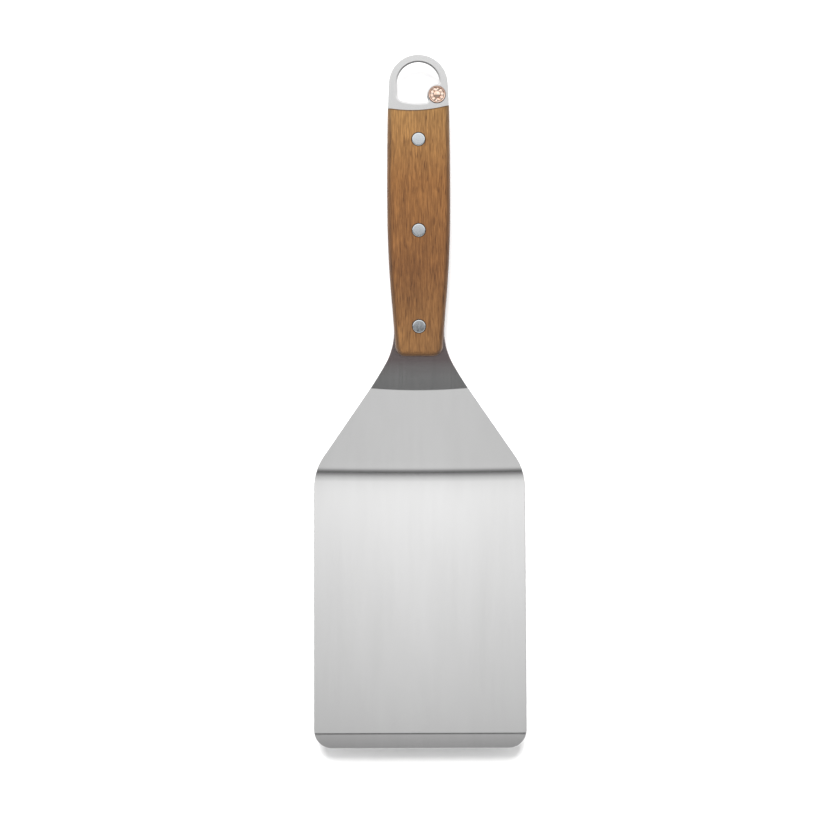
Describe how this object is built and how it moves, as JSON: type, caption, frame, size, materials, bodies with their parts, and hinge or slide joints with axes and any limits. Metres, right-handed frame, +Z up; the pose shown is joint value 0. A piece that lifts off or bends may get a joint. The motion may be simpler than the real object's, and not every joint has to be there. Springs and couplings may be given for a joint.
{
  "type": "grill spatula",
  "caption": "Long-handled spatula for turning food on a grill: wide cranked steel blade with a bevelled front edge, riveted wood grip and a loop to hang it by.",
  "frame": {"origin": "on the surface that the spatula lies on, under the middle of its length and width", "axes": "+Z up out of the blade's top face and along the rivets, +Y from the blade towards the hanging loop, +X to the right when the loop points away"},
  "size_m": [0.116, 0.379, 0.0193],
  "materials": {
    "steel": "satin",
    "rivet_steel": "polished",
    "handle_wood": "satin",
    "badge_copper": "polished"
  },
  "bodies": {
    "root": {"blade_and_tang": "steel", "top_scale": "handle_wood", "bottom_scale": "handle_wood", "loop_end_rivet_barrel": "rivet_steel", "loop_end_rivet_pin": "rivet_steel", "middle_rivet_barrel": "rivet_steel", "middle_rivet_pin": "rivet_steel", "neck_end_rivet_barrel": "rivet_steel", "neck_end_rivet_pin": "rivet_steel", "badge": "badge_copper"}
  },
  "joints": []
}
